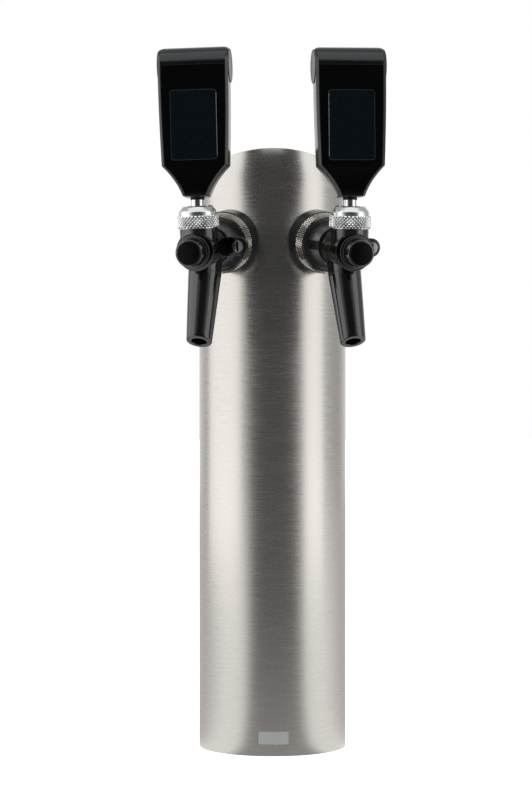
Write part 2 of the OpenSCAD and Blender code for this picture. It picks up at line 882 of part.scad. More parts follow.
module flow_cone(side) {
    color("white")
    tap_fitted(side) {
        forwards(cone_at) cylinder(d1 = cone_tip_d, d2 = cone_base_d, h = cone_len);
        intersection() {
            forwards(fin_at) cylinder(d = chamber_d - 2 * run_fit, h = cone_at + cone_len + fin_front - fin_at);
            for (turn = [0, 60, 120])
                forwards(fin_at) rotate([0, 0, turn])
                    translate([-chamber_d, -fin_t / 2, 0]) cube([2 * chamber_d, fin_t, chamber_d]);
        }
    }
}
cone_at = 13.5;
cone_tip_d = 8;
cone_base_d = 14;
cone_len = 8;
fin_at = 20.2;
fin_front = 1.3;
fin_t = 1.6;

tower_tube();
top_plate();
base_ring();
base_gasket();
insulation_liner();
label_plate();
for (side = [-1, 1]) {
    name = side < 0 ? "left_" : "right_";
    collar(side);
    inner_seat(side);
    shank(side);
    lock_nut(side);
    elbow(side);
    beer_pipe(side);
    shank_seal(side);
    coupling_nut(side);
    bell(side);
    tap_body(side);
    spout(side);
    front_cap(side);
    bonnet_nut(side);
    bonnet_dome(side);
    ball_seat(side);
    lever(side);
    jam_ring(side);
    handle_insert(side);
    handle_shell(side);
    handle_panel(side);
    handle_window(side);
    handle_discs(side);
    plunger(side);
    plunger_seal(side);
    flow_ring(side);
    flow_screw(side);
    flow_cone(side);
}
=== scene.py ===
import math

import bmesh
import bpy
from mathutils import Matrix, Vector


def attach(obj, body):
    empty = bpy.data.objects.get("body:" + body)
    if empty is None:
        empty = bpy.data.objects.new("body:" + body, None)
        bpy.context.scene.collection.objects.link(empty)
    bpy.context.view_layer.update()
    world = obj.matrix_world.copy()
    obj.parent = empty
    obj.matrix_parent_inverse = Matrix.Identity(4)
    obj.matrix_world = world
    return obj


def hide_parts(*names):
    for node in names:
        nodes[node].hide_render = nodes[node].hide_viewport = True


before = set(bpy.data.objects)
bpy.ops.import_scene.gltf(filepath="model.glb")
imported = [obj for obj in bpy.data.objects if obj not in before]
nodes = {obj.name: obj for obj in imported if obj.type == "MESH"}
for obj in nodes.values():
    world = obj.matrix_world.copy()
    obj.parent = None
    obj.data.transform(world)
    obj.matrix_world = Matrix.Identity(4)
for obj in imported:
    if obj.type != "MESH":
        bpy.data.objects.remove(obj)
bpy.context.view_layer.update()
scene = bpy.context.scene
scene.view_settings.view_transform = "Standard"
mm = 0.001
sides = {"left": -1, "right": 1}
print("frame loaded:", len(nodes), "nodes")

# Camera, level and in front of the column (degrees, millimetres and pixels, clipEnd in metres)

cameraSpec = {"turn": -0.65, "across": -4.5, "distance": 1540.0, "height": 240.0,
              "focalPixels": 2212.0, "imageHeight": 800.0, "sensor": 36.0, "clipEnd": 50.0}


def makeCamera(spec):
    data = bpy.data.cameras.new("camera")
    data.sensor_fit = "VERTICAL"
    data.sensor_height = spec["sensor"]
    data.lens = spec["focalPixels"] / spec["imageHeight"] * spec["sensor"]
    data.clip_end = spec["clipEnd"]
    camera = bpy.data.objects.new("camera", data)
    turn = Matrix.Rotation(math.radians(spec["turn"]), 4, "Z")
    place = Matrix.Translation(Vector((spec["across"], -spec["distance"], spec["height"])) * mm)
    camera.matrix_world = turn @ place @ Matrix.Rotation(math.radians(90), 4, "X")
    scene.collection.objects.link(camera)
    scene.camera = camera


makeCamera(cameraSpec)

# Shader helpers


def grey(level):
    return (level, level, level)


def shade(color, share):
    return tuple(c * share for c in color)


def addRamp(tree, value, stops):
    node = tree.nodes.new("ShaderNodeValToRGB")
    ramp = node.color_ramp
    while len(ramp.elements) < len(stops):
        ramp.elements.new(0.5)
    for element, (place, color) in zip(ramp.elements, stops):
        element.position = place
        element.color = (*color, 1.0)
    tree.links.new(value, node.inputs[0])
    return node.outputs[0]


# The usual span of a noise is 0.3 to 0.7.
def addRange(tree, value, low, high, fromLow=0.3, fromHigh=0.7):
    node = tree.nodes.new("ShaderNodeMapRange")
    node.inputs["From Min"].default_value = fromLow
    node.inputs["From Max"].default_value = fromHigh
    node.inputs["To Min"].default_value = low
    node.inputs["To Max"].default_value = high
    tree.links.new(value, node.inputs["Value"])
    return node.outputs["Result"]


def addNoise(tree, scale, detail=3.0, stretch=(1, 1, 1), rough=0.5):
    coords = tree.nodes.new("ShaderNodeTexCoord")
    mapping = tree.nodes.new("ShaderNodeMapping")
    mapping.inputs["Scale"].default_value = stretch
    tree.links.new(coords.outputs["Object"], mapping.inputs["Vector"])
    noise = tree.nodes.new("ShaderNodeTexNoise")
    noise.inputs["Scale"].default_value = scale
    noise.inputs["Detail"].default_value = detail
    noise.inputs["Roughness"].default_value = rough
    tree.links.new(mapping.outputs[0], noise.inputs["Vector"])
    return noise.outputs["Fac"]


def addTint(tree, shader, value, color, low, high):
    stops = [(0.3, shade(color, low)), (0.7, shade(color, high))]
    tree.links.new(addRamp(tree, value, stops), shader.inputs["Base Color"])


def addBump(tree, shader, height, depth, strength):
    node = tree.nodes.new("ShaderNodeBump")
    node.inputs["Strength"].default_value = strength
    node.inputs["Distance"].default_value = depth
    tree.links.new(height, node.inputs["Height"])
    before = shader.inputs["Normal"].links
    if before:
        tree.links.new(before[0].from_socket, node.inputs["Normal"])
    tree.links.new(node.outputs[0], shader.inputs["Normal"])


# Soft edges: the shading turns over each sharp edge within this radius.
def addSoftEdge(tree, shader, radius):
    node = tree.nodes.new("ShaderNodeBevel")
    node.samples = 6
    node.inputs["Radius"].default_value = radius
    tree.links.new(node.outputs[0], shader.inputs["Normal"])


def startMaterial(name, color, roughness, metallic=0.0, specular=0.5):
    material = bpy.data.materials.new(name)
    material.use_nodes = True
    tree = material.node_tree
    shader = tree.nodes["Principled BSDF"]
    shader.inputs["Base Color"].default_value = (*color, 1.0)
    shader.inputs["Roughness"].default_value = roughness
    shader.inputs["Metallic"].default_value = metallic
    shader.inputs["Specular IOR Level"].default_value = specular
    return material, tree, shader


# Studio: a bright room that is dark behind the camera, soft panels and a pale floor

# The room's light by direction, from the front (0) to the back (1)
worldSpec = {"stops": [(0.05, (0.052, 0.053, 0.055)), (0.085, (0.072, 0.074, 0.076)),
                       (0.14, grey(0.50)), (0.55, grey(0.52)), (0.80, grey(0.42)),
                       (0.97, (0.95, 0.96, 1.0))],
             "seen": 1.0}


def makeWorld(spec):
    world = bpy.data.worlds.new("studio")
    world.use_nodes = True
    tree = world.node_tree
    tree.nodes.clear()
    coords = tree.nodes.new("ShaderNodeTexCoord")
    parts = tree.nodes.new("ShaderNodeSeparateXYZ")
    tree.links.new(coords.outputs["Generated"], parts.inputs[0])
    fade = addRange(tree, parts.outputs["Y"], 0.0, 1.0, -1.0, 1.0)
    light = tree.nodes.new("ShaderNodeBackground")
    tree.links.new(addRamp(tree, fade, spec["stops"]), light.inputs["Color"])
    seen = tree.nodes.new("ShaderNodeBackground")
    seen.inputs["Color"].default_value = (1.0, 1.0, 1.0, 1.0)
    seen.inputs["Strength"].default_value = spec["seen"]
    path = tree.nodes.new("ShaderNodeLightPath")
    mix = tree.nodes.new("ShaderNodeMixShader")
    tree.links.new(path.outputs["Is Camera Ray"], mix.inputs[0])
    tree.links.new(light.outputs[0], mix.inputs[1])
    tree.links.new(seen.outputs[0], mix.inputs[2])
    out = tree.nodes.new("ShaderNodeOutputWorld")
    tree.links.new(mix.outputs[0], out.inputs["Surface"])
    scene.world = world


# Soft panels round a target: direction in degrees, then metres and watts
lightTarget = Vector((0.0, 0.0, 0.3))
lightSpecs = {
    "leftPanel": {"azimuth": -84, "elevation": 8, "reach": 1.7, "width": 2.3, "height": 2.2,
                  "watts": 14.5, "tint": grey(1.0)},
    "rightPanel": {"azimuth": 66, "elevation": 8, "reach": 1.7, "width": 1.1, "height": 2.2,
                   "watts": 7.2, "tint": grey(1.0)},
    "topPanel": {"azimuth": -5, "elevation": 61, "reach": 2.0, "width": 3.4, "height": 2.0,
                 "watts": 14, "tint": (0.88, 0.96, 1.0)}}


def makePanel(name, spec):
    data = bpy.data.lights.new(name, "AREA")
    data.shape = "RECTANGLE"
    data.size = spec["width"]
    data.size_y = spec["height"]
    data.energy = spec["watts"]
    data.color = spec["tint"]
    light = bpy.data.objects.new(name, data)
    a = math.radians(spec["azimuth"])
    e = math.radians(spec["elevation"])
    away = Vector((math.sin(a) * math.cos(e), -math.cos(a) * math.cos(e), math.sin(e)))
    offset = away * spec["reach"]
    light.location = lightTarget + offset
    light.rotation_euler = (-offset).to_track_quat("-Z", "Y").to_euler()
    scene.collection.objects.link(light)


# The camera sees a pale floor. The pieces reflect another one just below it, which is bright at
# the sides, darker with distance in front, and darker towards the back.
seenFloorSpec = {"radius": 12.0, "below": 0.0, "color": grey(0.93), "roughness": 0.9, "glow": 0.85}
nearFloorSpec = {"radius": 4.0, "below": 0.0005, "turn": 4.0, "edges": (0.66, 0.84),
                 "front": [(0.0, grey(0.40)), (0.05, grey(0.30)), (0.25, grey(0.12)),
                           (1.0, grey(0.085))],
                 "side": 1.10, "behindFrom": -0.2, "behindTo": 0.65,
                 "behind": [(0.0, grey(1.0)), (0.3, grey(0.88)), (0.62, grey(0.70)),
                            (1.0, grey(0.56))]}


def makeFloor(name, spec, material):
    bm = bmesh.new()
    bmesh.ops.create_circle(bm, cap_ends=True, radius=spec["radius"], segments=96)
    mesh = bpy.data.meshes.new(name)
    bm.to_mesh(mesh)
    bm.free()
    floor = bpy.data.objects.new(name, mesh)
    floor.location.z = -spec["below"]
    floor.data.materials.append(material)
    scene.collection.objects.link(floor)
    return floor


def paleFloor(spec):
    material, tree, shader = startMaterial("floorPale", spec["color"], spec["roughness"])
    shader.inputs["Emission Color"].default_value = (1.0, 1.0, 1.0, 1.0)
    shader.inputs["Emission Strength"].default_value = spec["glow"]
    return material


def shiningFloor(spec):
    material = bpy.data.materials.new("nearFloorLight")
    material.use_nodes = True
    tree = material.node_tree
    tree.nodes.clear()
    coords = tree.nodes.new("ShaderNodeTexCoord")
    length = tree.nodes.new("ShaderNodeVectorMath")
    length.operation = "LENGTH"
    tree.links.new(coords.outputs["Object"], length.inputs[0])
    unit = tree.nodes.new("ShaderNodeVectorMath")
    unit.operation = "NORMALIZE"
    tree.links.new(coords.outputs["Object"], unit.inputs[0])
    parts = tree.nodes.new("ShaderNodeSeparateXYZ")
    tree.links.new(unit.outputs["Vector"], parts.inputs[0])
    low, high = spec["edges"]
    frontShare = addRange(tree, parts.outputs["Y"], 1.0, 0.0, -high, -low)
    front = tree.nodes.new("ShaderNodeEmission")
    away = addRange(tree, length.outputs["Value"], 0.0, 1.0, 0.0, spec["radius"])
    tree.links.new(addRamp(tree, away, spec["front"]), front.inputs["Color"])
    side = tree.nodes.new("ShaderNodeEmission")
    behind = addRange(tree, parts.outputs["Y"], 0.0, 1.0, spec["behindFrom"], spec["behindTo"])
    tree.links.new(addRamp(tree, behind, spec["behind"]), side.inputs["Color"])
    side.inputs["Strength"].default_value = spec["side"]
    mix = tree.nodes.new("ShaderNodeMixShader")
    tree.links.new(frontShare, mix.inputs[0])
    tree.links.new(side.outputs[0], mix.inputs[1])
    tree.links.new(front.outputs[0], mix.inputs[2])
    out = tree.nodes.new("ShaderNodeOutputMaterial")
    tree.links.new(mix.outputs[0], out.inputs["Surface"])
    return material


makeWorld(worldSpec)
for name, spec in lightSpecs.items():
    makePanel(name, spec)
seenFloor = makeFloor("floor", seenFloorSpec, paleFloor(seenFloorSpec))
seenFloor.visible_glossy = False
seenFloor.visible_diffuse = False
nearFloor = makeFloor("nearFloor", nearFloorSpec, shiningFloor(nearFloorSpec))
nearFloor.rotation_euler.z = math.radians(nearFloorSpec["turn"])
nearFloor.visible_camera = False
nearFloor.visible_diffuse = False
print("studio made")

# Finishes. A pitch is the scale of a pattern, and a range of roughness follows that pattern.

steelSpec = {"pitch": 1150.0, "across": 70.0, "detail": 4.0, "rough": 0.7, "metallic": 0.93,
             "anisotropic": 0.55, "roughness": (0.22, 0.28), "tint": (0.93, 1.05),
             "bump": 0.000010, "strength": 0.18}


# The grain is fine up the column and drawn out round it.
def brushedSteel(name, color):
    s = steelSpec
    material, tree, shader = startMaterial(name, color, s["roughness"][0], s["metallic"])
    shader.inputs["Anisotropic"].default_value = s["anisotropic"]
    tangent = tree.nodes.new("ShaderNodeTangent")
    tangent.direction_type = "RADIAL"
    tangent.axis = "Z"
    tree.links.new(tangent.outputs[0], shader.inputs["Tangent"])
    drawn = s["across"] / s["pitch"]
    grain = addNoise(tree, s["pitch"], s["detail"], (drawn, drawn, 1), s["rough"])
    addTint(tree, shader, grain, color, *s["tint"])
    tree.links.new(addRange(tree, grain, *s["roughness"]), shader.inputs["Roughness"])
    addBump(tree, shader, grain, s["bump"], s["strength"])
    return material


def platedMetal(name, color, roughness, edge, pitch=240.0, bump=0.00002):
    material, tree, shader = startMaterial(name, color, roughness[0], metallic=1.0)
    addSoftEdge(tree, shader, edge)
    spots = addNoise(tree, pitch, detail=4.0)
    tree.links.new(addRange(tree, spots, *roughness), shader.inputs["Roughness"])
    addTint(tree, shader, spots, color, low=0.93, high=1.0)
    addBump(tree, shader, addNoise(tree, pitch * 2.5, detail=2.0), bump, strength=0.4)
    return material


def blackPlastic(name, color, roughness, specular=0.8, edge=0.0004, pitch=120.0, bump=0.00003):
    material, tree, shader = startMaterial(name, color, roughness[0], specular=specular)
    if edge:
        addSoftEdge(tree, shader, edge)
    smudge = addNoise(tree, pitch)
    tree.links.new(addRange(tree, smudge, *roughness), shader.inputs["Roughness"])
    addTint(tree, shader, smudge, color, low=0.85, high=1.15)
    addBump(tree, shader, addNoise(tree, pitch * 4, detail=2.0), bump, strength=0.3)
    return material


def mattePiece(name, color, roughness=(0.5, 0.75), pitch=300.0, bump=0.0001, variation=0.12):
    material, tree, shader = startMaterial(name, color, roughness[0], specular=0.4)
    grain = addNoise(tree, pitch, detail=5.0, rough=0.6)
    tree.links.new(addRange(tree, grain, *roughness), shader.inputs["Roughness"])
    addTint(tree, shader, grain, color, low=1 - variation, high=1 + variation)
    addBump(tree, shader, addNoise(tree, pitch * 3, detail=2.0), bump, strength=0.4)
    return material


# The knurl's valleys are painted darker than its ridges, as painted shade in the grooves found by
# pointiness. The reach is where the painted valley shade ends and the ridges start.
def knurlMetal(name, color, valleyShade, roughness, reach, pitch=300.0):
    material, tree, shader = startMaterial(name, color, roughness[0], metallic=1.0)
    geometry = tree.nodes.new("ShaderNodeNewGeometry")
    # Painted shade: low pointiness, in the grooves, takes the dark valley colour.
    stops = [(reach[0], valleyShade), (reach[1], color)]
    tree.links.new(addRamp(tree, geometry.outputs["Pointiness"], stops),
                   shader.inputs["Base Color"])
    tree.links.new(addRange(tree, addNoise(tree, pitch), *roughness), shader.inputs["Roughness"])
    return material


materials = {
    "column": brushedSteel("brushedColumn", (0.615, 0.588, 0.553)),
    "base": brushedSteel("turnedSteel", (0.55, 0.54, 0.53)),
    "chrome": platedMetal("chrome", grey(0.80), (0.10, 0.17), edge=0.0003),
    "dome": platedMetal("domeSatin", grey(0.74), (0.20, 0.28), edge=0.0004),
    "screw": platedMetal("darkScrew", grey(0.32), (0.22, 0.32), edge=0.0003),
    "brass": platedMetal("brass", (0.62, 0.46, 0.22), (0.22, 0.36), edge=0.0003),
    # Both knurls get painted shade in their valleys.
    "nickel": knurlMetal("nickelKnurl", (0.80, 0.75, 0.68), valleyShade=(0.05, 0.045, 0.04),
                         roughness=(0.14, 0.22), reach=(0.46, 0.56)),
    "brightKnurl": knurlMetal("chromeKnurl", grey(0.84), valleyShade=grey(0.10),
                              roughness=(0.10, 0.18), reach=(0.44, 0.52)),
    "gloss": blackPlastic("polishedBlack", (0.0035, 0.0040, 0.0045), (0.10, 0.16), specular=1.0),
    "cap": blackPlastic("capBlack", (0.0025, 0.0028, 0.0032), (0.08, 0.14), specular=0.45),
    "capFace": blackPlastic("capFaceBlack", (0.0020, 0.0022, 0.0025), (0.20, 0.26),
                            specular=0.08, edge=0.0),
    "handle": blackPlastic("handleBlack", (0.0040, 0.0048, 0.0052), (0.15, 0.21),
                           specular=0.62, edge=0.0),
    "panel": blackPlastic("panelBlack", (0.0012, 0.0014, 0.0018), (0.05, 0.09), specular=0.35,
                          edge=0.0003, pitch=60.0, bump=0.00001),
    "disc": blackPlastic("discBlack", (0.085, 0.088, 0.092), (0.34, 0.42), specular=0.4),
    # Painted shade: the hole material is a near-black fill put where holes, slots and corners are
    # in shade.
    "hole": blackPlastic("paintedShadeBlack", grey(0.001), (0.6, 0.8), specular=0.1, edge=0.0),
    "line": blackPlastic("windowLine", (0.035, 0.038, 0.042), (0.14, 0.22), edge=0.0),
    # The window edge strip is a painted highlight: lighter plastic where the raised line catches
    # the light.
    "paintedGlintLine": blackPlastic("windowPaintedGlint", (0.26, 0.27, 0.28), (0.18, 0.26), edge=0.0),
    "window": blackPlastic("windowPrint", (0.0035, 0.0075, 0.0105), (0.14, 0.26), specular=0.3,
                           edge=0.0, pitch=700.0),
    "bell": blackPlastic("bellBlack", (0.055, 0.058, 0.062), (0.24, 0.32), specular=1.0),
    "collar": blackPlastic("collarBlack", (0.0060, 0.0115, 0.0145), (0.22, 0.32), specular=0.55),
    "plate": mattePiece("blankPlate", grey(0.63), (0.4, 0.5), pitch=400.0, bump=0.00002,
                        variation=0.04),
    "jam": mattePiece("jamBlack", grey(0.008)),
    "seat": mattePiece("seatBlack", grey(0.020)),
    "rubber": mattePiece("rubber", grey(0.020), (0.6, 0.85)),
    "foam": mattePiece("linerFoam", (0.72, 0.64, 0.42), (0.8, 0.95), pitch=500.0, bump=0.0006,
                       variation=0.18),
    "elbow": mattePiece("elbowGrey", (0.10, 0.10, 0.105)),
    "white": mattePiece("whitePlastic", (0.78, 0.78, 0.74), (0.35, 0.5), pitch=200.0,
                        bump=0.00004, variation=0.05),
}

looks = {
    "tower_tube": "column", "top_plate": "column", "base_ring": "base", "base_gasket": "rubber",
    "insulation_liner": "foam", "label_plate": "plate"}
tapLooks = {
    "collar": "collar", "inner_seat": "seat", "shank": "base", "lock_nut": "brass",
    "elbow": "elbow", "beer_pipe": "base", "shank_seal": "rubber", "coupling_nut": "nickel",
    "bell": "bell", "tap_body": "gloss", "spout": "gloss", "front_cap": "gloss",
    "bonnet_nut": "brightKnurl", "bonnet_dome": "chrome", "ball_seat": "white", "lever": "chrome",
    "jam_ring": "jam", "handle_insert": "brass", "handle_shell": "handle",
    "handle_panel": "handle", "handle_window": "gloss", "handle_discs": "handle",
    "plunger": "white", "plunger_seal": "rubber", "flow_ring": "gloss", "flow_screw": "screw",
    "flow_cone": "white"}
for sideName in sides:
    looks.update({sideName + "_" + name: look for name, look in tapLooks.items()})
for name, look in looks.items():
    nodes[name].data.materials.clear()
    nodes[name].data.materials.append(materials[look])
print("nodes dressed")

# Each tap has its own frame, in millimetres: the nut seat is its origin, it points along -Y,
# and its chimney rises along Z. The angles are in degrees.

tapSpec = {"columnRadius": 50.8, "height": 348.0, "mountAngle": 35.4, "yaw": 20.0, "slope": 10.0,
           "collar": 12.5, "roll": 1.0, "chimneyAt": 45.0, "chimneyBack": 3.0, "pivot": 21.5,
           "leverBack": 6.0, "handleTurn": 13.7, "spoutAt": 31.6, "spoutLean": 25.5}


def turnBy(degrees, axis):
    return Matrix.Rotation(math.radians(degrees), 4, axis)


def shift(x, y, z):
    return Matrix.Translation((x, y, z))


def tapPlace(side):
    s = tapSpec
    hole = turnBy(side * s["mountAngle"], "Z") @ shift(0, -s["columnRadius"], s["height"])
    outwards = turnBy(side * (s["yaw"] - s["mountAngle"]), "Z") @ turnBy(s["slope"], "X")
    return Matrix.Scale(mm, 4) @ hole @ outwards @ shift(0, -s["collar"], 0)


def tapFitted(side):
    return tapPlace(side) @ turnBy(-tapSpec["roll"], "Y")


def chimneyPlace(side):
    s = tapSpec
    return tapFitted(side) @ shift(0, -s["chimneyAt"], 0) @ turnBy(-s["chimneyBack"], "X")


def leverPlace(side):
    s = tapSpec
    tipped = shift(0, 0, s["pivot"]) @ turnBy(-s["leverBack"], "X") @ shift(0, 0, -s["pivot"])
    return chimneyPlace(side) @ tipped


def handlePlace(side):
    return leverPlace(side) @ turnBy(-side * tapSpec["handleTurn"], "Z")


def spoutPlace(side):
    s = tapSpec
    return (tapFitted(side) @ shift(0, -s["spoutAt"], 0) @ turnBy(-s["spoutLean"], "X")
            @ turnBy(180, "X"))


alongTap = turnBy(90, "X")

# Mesh helpers


def finishMesh(name, bm, material, body, replaced, angle):
    bmesh.ops.remove_doubles(bm, verts=bm.verts, dist=0.000001)
    bmesh.ops.recalc_face_normals(bm, faces=bm.faces)
    mesh = bpy.data.meshes.new(name)
    bm.to_mesh(mesh)
    bm.free()
    mesh.polygons.foreach_set("use_smooth", [True] * len(mesh.polygons))
    mesh.set_sharp_from_angle(angle=math.radians(angle))
    mesh.materials.append(material)
    obj = bpy.data.objects.new(name, mesh)
    scene.collection.objects.link(obj)
    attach(obj, body)
    if replaced:
        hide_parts(*replaced)


# Points are (x, y) or (x, y, radius), and those with a radius are rounded. A rounding takes less
# than half of an edge.
def roundOutline(points, steps=5):
    outline = []
    count = len(points)
    for i, point in enumerate(points):
        here = Vector(point[:2])
        if len(point) < 3:
            outline.append(here)
            continue
        back = Vector(points[i - 1][:2]) - here
        ahead = Vector(points[(i + 1) % count][:2]) - here
        wanted = point[2] / math.tan(back.angle(ahead) / 2)
        reach = min(wanted, back.length * 0.49, ahead.length * 0.49)
        start = here + back.normalized() * reach
        end = here + ahead.normalized() * reach
        for k in range(steps + 1):
            u = k / steps
            outline.append(start * (1 - u) ** 2 + here * 2 * u * (1 - u) + end * u ** 2)
    return outline


def roundedRectangle(width, height, radius, middle, steps=6):
    x, z = width / 2, height / 2
    return roundOutline([(-x, middle - z, radius), (x, middle - z, radius),
                         (x, middle + z, radius), (-x, middle + z, radius)], steps)


def divided(points, step):
    fine = []
    for i, here in enumerate(points):
        ahead = points[(i + 1) % len(points)]
        count = max(1, math.ceil((ahead - here).length / step))
        fine += [here.lerp(ahead, k / count) for k in range(count)]
    return fine


def closedEdges(bm, points, place):
    verts = [bm.verts.new(place @ Vector(p)) for p in points]
    return [bm.edges.new((a, b)) for a, b in zip(verts, verts[1:] + verts[:1])]


# Rings of points are bridged into a skin; open ends get a cap.
def addSkin(bm, rings, place, closed=False):
    loops = [closedEdges(bm, ring, place) for ring in rings]
    pairs = list(zip(loops, loops[1:])) + ([(loops[-1], loops[0])] if closed else [])
    for low, high in pairs:
        bmesh.ops.bridge_loops(bm, edges=low + high)
    if not closed:
        bmesh.ops.contextual_create(bm, geom=loops[0])
        bmesh.ops.contextual_create(bm, geom=loops[-1])


def joinPart(bm, part, place):
    part.transform(place)
    mesh = bpy.data.meshes.new("part")
    part.to_mesh(mesh)
    part.free()
    bm.from_mesh(mesh)
    bpy.data.meshes.remove(mesh)


# The outline's points are (radius, height). It is spun round, and shape may then move each point.
def addTurned(bm, outline, segments, place, shape=None):
    part = bmesh.new()
    points = [Vector((r, 0.0, t)) for r, t in outline]
    verts = [part.verts.new(p) for p in points]
    pairs = list(zip(verts, verts[1:]))
    if points[0].x or points[-1].x:
        pairs.append((verts[-1], verts[0]))
    edges = [part.edges.new(pair) for pair in pairs]
    bmesh.ops.spin(part, geom=verts + edges, cent=(0, 0, 0), axis=(0, 0, 1), dvec=(0, 0, 0),
                   angle=2 * math.pi, steps=segments, use_merge=True)
    if shape:
        for vert in part.verts:
            x, y, t = vert.co
            vert.co = shape(math.atan2(y, x) % (2 * math.pi), math.hypot(x, y), t)
    bmesh.ops.remove_doubles(part, verts=part.verts, dist=0.00001)
    joinPart(bm, part, place)


def addPlate(bm, outline, thickness, place, bevel=0.0):
    part = bmesh.new()
    face = part.faces.new([part.verts.new((x, y, 0.0)) for x, y in outline])
    grown = bmesh.ops.extrude_face_region(part, geom=[face])["geom"]
    lifted = [g for g in grown if isinstance(g, bmesh.types.BMVert)]
    bmesh.ops.translate(part, verts=lifted, vec=(0, 0, thickness))
    if bevel:
        rims = [e for e in part.edges if abs(e.verts[0].co.z - e.verts[1].co.z) < bevel / 10]
        bmesh.ops.bevel(part, geom=rims, offset=bevel, segments=3, profile=0.5, affect="EDGES",
                        material=-1)
    joinPart(bm, part, place)


# Knurled nuts: the band has a diamond knurl, and the ends are turned. A nut's pitches are its
# diamonds round the band, and each has the mesh steps round and rows along that are given here.

knurlSpec = {"deep": 0.7, "flat": 0.9, "rows": 8, "steps": 8, "near": 0.001}


def knurlDepth(a, t, pitches, radius):
    across = a * pitches / (2 * math.pi)
    along = t * pitches / (2 * math.pi * radius)
    groove = min(abs(turn - round(turn)) * 2 for turn in (across + along, across - along))
    return knurlSpec["deep"] * (1 - min(groove, knurlSpec["flat"]) / knurlSpec["flat"])


def knurledNut(name, outline, band, radius, pitches, place, material, body, replaced):
    low, high = band
    near = knurlSpec["near"]
    pitch = 2 * math.pi * radius / pitches
    rows = math.ceil((high - low) / pitch * knurlSpec["rows"])
    points = []
    for point in roundOutline(outline):
        points.append(point)
        if abs(point.x - radius) < near and abs(point.y - low) < near:
            points += [(radius, low + (high - low) * i / rows) for i in range(1, rows)]

    def shape(a, r, t):
        if abs(r - radius) < near and low < t < high:
            r -= knurlDepth(a, t - low, pitches, radius)
        return (r * math.cos(a), r * math.sin(a), t)

    bm = bmesh.new()
    addTurned(bm, points, pitches * knurlSpec["steps"], place, shape)
    finishMesh(name, bm, material, body, (replaced,), angle=25)


couplingSpec = {"outer": 20.3, "inner": 18.0, "mouth": 18.45, "lip": 11.1, "lipThick": 1.5,
                "length": 11.0, "face": 9.5, "edge": 0.3, "pitches": 44}
bonnetSpec = {"outer": 13.7, "inner": 10.85, "seat": 12.95, "mouth": 12.45, "low": 14.1,
              "high": 22.5, "roof": 20.5, "lip": 21.7, "edge": 0.6, "pitches": 36}


def couplingNut(sideName, side):
    s = couplingSpec
    band = (s["edge"], s["length"] - s["edge"])
    outline = [(s["lip"], 0), (s["outer"] - s["edge"], 0), (s["outer"], band[0]),
               (s["outer"], band[1]), (s["outer"] - s["edge"], s["length"]),
               (s["mouth"], s["length"]), (s["inner"], s["face"]), (s["inner"], s["lipThick"]),
               (s["lip"], s["lipThick"])]
    knurledNut(sideName + "CouplingKnurl", outline, band, s["outer"], s["pitches"],
               tapPlace(side) @ alongTap, materials["nickel"], "tower",
               sideName + "_coupling_nut")


def bonnetNut(sideName, side):
    s = bonnetSpec
    band = (s["low"] + s["edge"], s["high"] - s["edge"])
    outline = [(s["inner"], s["low"]), (s["outer"] - s["edge"], s["low"]), (s["outer"], band[0]),
               (s["outer"], band[1]), (s["outer"] - s["edge"], s["high"]),
               (s["mouth"], s["high"]), (s["mouth"], s["lip"]), (s["seat"], s["lip"]),
               (s["seat"], s["roof"]), (s["inner"], s["roof"])]
    knurledNut(sideName + "BonnetKnurl", outline, band, s["outer"], s["pitches"],
               chimneyPlace(side), materials["brightKnurl"], "tower",
               sideName + "_bonnet_nut")


# Dome: a turned shell with a slot across it, whose edges are rounded

domeSpec = {"flange": 12.9, "flangeLow": 20.7, "flangeHigh": 21.7, "radius": 12.4, "top": 9.4,
            "height": 28.8, "shoulder": 25.2, "shoulderRound": 3.4, "topRound": 2.2, "mouth": 7.4,
            "throat": 5.9, "throatAt": 24.2, "ball": 6.6, "seat": 6.5, "seatAt": 22.9,
            "slotHalf": 3.2, "slotDeep": 4.4, "slotRound": 0.7, "step": 0.6, "segments": 192}


def bonnetDome(sideName, side):
    s = domeSpec
    outline = roundOutline([(s["ball"], s["flangeLow"]), (s["flange"], s["flangeLow"]),
                            (s["flange"], s["flangeHigh"]), (s["radius"], s["flangeHigh"]),
                            (s["radius"], s["shoulder"], s["shoulderRound"]),
                            (s["top"], s["height"], s["topRound"]), (s["mouth"], s["height"]),
                            (s["throat"], s["throatAt"]), (s["seat"], s["seatAt"])], steps=6)
    floor = s["height"] - s["slotDeep"]

    def shape(a, r, t):
        x, y = r * math.cos(a), r * math.sin(a)
        over = (abs(y) - s["slotHalf"]) / s["slotRound"]
        if over < 1 and t > floor:
            t = min(t, floor + s["slotDeep"] * math.sqrt(max(over, 0.0)))
        return (x, y, t)

    bm = bmesh.new()
    addTurned(bm, divided(outline, s["step"]), s["segments"], chimneyPlace(side), shape)
    finishMesh(sideName + "Dome", bm, materials["dome"], "tower",
               (sideName + "_bonnet_dome",), angle=30)


# Handle: a shell lofted from level sections, with a wide bevel round its front. Its top is a
# round roll as wide as the handle.

handleSpec = {"foot": 34.2, "height": 97.8, "footWidth": 16.6, "shoulderWidth": 43.4,
              "topWidth": 46.0, "shoulder": 20.2, "rollRadius": 12.5, "front": 10.8,
              "blade": 17.0, "bevel": 1.7, "bevelDeep": 1.5, "bevelRound": 0.35,
              "sideRound": 0.45, "backRound": 2.4, "cornerRound": 3.2, "footRound": 1.1,
              "neckBend": 0.5, "sideBulge": 0.5}
handleTop = handleSpec["foot"] + handleSpec["height"]
rollAt = handleTop - handleSpec["rollRadius"]
rollBack = handleSpec["rollRadius"] - handleSpec["front"]

# Where a section is thin, its bevel and roundings keep to these shares of its depth and width.
thinSpec = {"bevel": 0.35, "bevelDeep": 0.3, "back": 0.45, "round": 0.2, "ofWidth": 0.4,
            "leastDepth": 0.02, "leastRound": 0.001}

